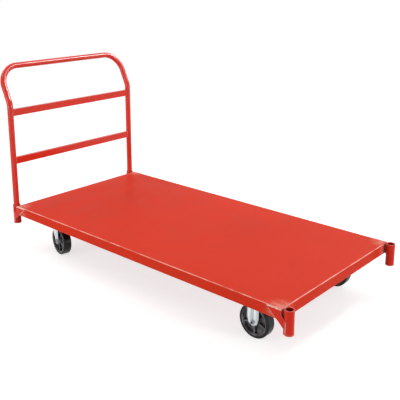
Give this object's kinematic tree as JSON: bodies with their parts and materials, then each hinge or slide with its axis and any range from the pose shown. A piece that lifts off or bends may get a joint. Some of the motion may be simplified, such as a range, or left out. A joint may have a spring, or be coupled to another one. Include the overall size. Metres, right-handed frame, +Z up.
{
  "type": "platform cart",
  "caption": "Steel platform cart with a flat flanged deck, rigid and swivel casters, corner stake sockets and a lift-out bent-pipe handle.",
  "frame": {"origin": "on the floor under the centre of the overall box", "axes": "+X from the handle end to the front, +Y to the left side, +Z up"},
  "size_m": [2.0102, 0.924, 1.0537],
  "materials": {
    "deck_paint": "satin powder coat",
    "frame_paint": "satin powder coat",
    "corner_paint": "satin powder coat over welds",
    "handle_paint": "gloss powder coat",
    "fork_zinc": "bright zinc plate",
    "fastener_zinc": "zinc plate",
    "bearing_steel": "oiled steel",
    "wheel_core": "moulded polymer",
    "tyre": "hard rubber"
  },
  "bodies": {
    "platform": {"deck_pan": "deck_paint", "bolster_front": "frame_paint", "bolster_rear": "frame_paint", "stiffener_front": "frame_paint", "stiffener_middle": "frame_paint", "stiffener_rear": "frame_paint", "socket_floors": "frame_paint", "socket_front_left": "corner_paint", "spacer_front_left": "corner_paint", "gusset_front_left": "corner_paint", "socket_front_right": "corner_paint", "spacer_front_right": "corner_paint", "gusset_front_right": "corner_paint", "socket_rear_left": "corner_paint", "spacer_rear_left": "corner_paint", "gusset_rear_left": "corner_paint", "socket_rear_right": "corner_paint", "spacer_rear_right": "corner_paint", "gusset_rear_right": "corner_paint", "caster_bolts": "fastener_zinc", "caster_nuts": "fastener_zinc", "rigid_fork_front_left": "fork_zinc", "axle_bolt_front_left": "fastener_zinc", "axle_nut_front_left": "fastener_zinc", "axle_sleeve_front_left": "bearing_steel", "rigid_fork_front_right": "fork_zinc", "axle_bolt_front_right": "fastener_zinc", "axle_nut_front_right": "fastener_zinc", "axle_sleeve_front_right": "bearing_steel", "swivel_plate_rear_left": "fork_zinc", "kingpin_rear_left": "bearing_steel", "swivel_plate_rear_right": "fork_zinc", "kingpin_rear_right": "bearing_steel"},
    "handle": {"handle_tube": "handle_paint", "upper_rail": "handle_paint", "lower_rail": "handle_paint"},
    "swivel_rear_left": {"swivel_fork_rear_left": "fork_zinc", "race_balls_rear_left": "bearing_steel", "axle_bolt_rear_left": "fastener_zinc", "axle_nut_rear_left": "fastener_zinc", "axle_sleeve_rear_left": "bearing_steel"},
    "swivel_rear_right": {"swivel_fork_rear_right": "fork_zinc", "race_balls_rear_right": "bearing_steel", "axle_bolt_rear_right": "fastener_zinc", "axle_nut_rear_right": "fastener_zinc", "axle_sleeve_rear_right": "bearing_steel"},
    "wheel_front_left": {"tyre_front_left": "tyre", "wheel_core_front_left": "wheel_core", "roller_bearing_front_left": "bearing_steel"},
    "wheel_front_right": {"tyre_front_right": "tyre", "wheel_core_front_right": "wheel_core", "roller_bearing_front_right": "bearing_steel"},
    "wheel_rear_left": {"tyre_rear_left": "tyre", "wheel_core_rear_left": "wheel_core", "roller_bearing_rear_left": "bearing_steel"},
    "wheel_rear_right": {"tyre_rear_right": "tyre", "wheel_core_rear_right": "wheel_core", "roller_bearing_rear_right": "bearing_steel"}
  },
  "joints": [
    {"name": "handle_lift", "type": "slide", "parent": "platform", "child": "handle", "axis": [0, 0, 1], "range_m": [0, 0.14]},
    {"name": "swivel_rear_left", "type": "hinge", "parent": "platform", "child": "swivel_rear_left", "pos_m": [-0.65827, 0.333, 0.19], "axis": [0, 0, 1], "continuous": true},
    {"name": "swivel_rear_right", "type": "hinge", "parent": "platform", "child": "swivel_rear_right", "pos_m": [-0.65827, -0.333, 0.19], "axis": [0, 0, 1], "continuous": true},
    {"name": "spin_front_left", "type": "hinge", "parent": "platform", "child": "wheel_front_left", "pos_m": [0.74573, 0.333, 0.08], "axis": [0, 1, 0], "continuous": true},
    {"name": "spin_front_right", "type": "hinge", "parent": "platform", "child": "wheel_front_right", "pos_m": [0.74573, -0.333, 0.08], "axis": [0, 1, 0], "continuous": true},
    {"name": "spin_rear_left", "type": "hinge", "parent": "swivel_rear_left", "child": "wheel_rear_left", "pos_m": [-0.62048, 0.32903, 0.08], "axis": [0.1045, 0.9945, 0], "continuous": true},
    {"name": "spin_rear_right", "type": "hinge", "parent": "swivel_rear_right", "child": "wheel_rear_right", "pos_m": [-0.6211, -0.3409, 0.08], "axis": [0.2079, 0.9781, 0], "continuous": true}
  ]
}
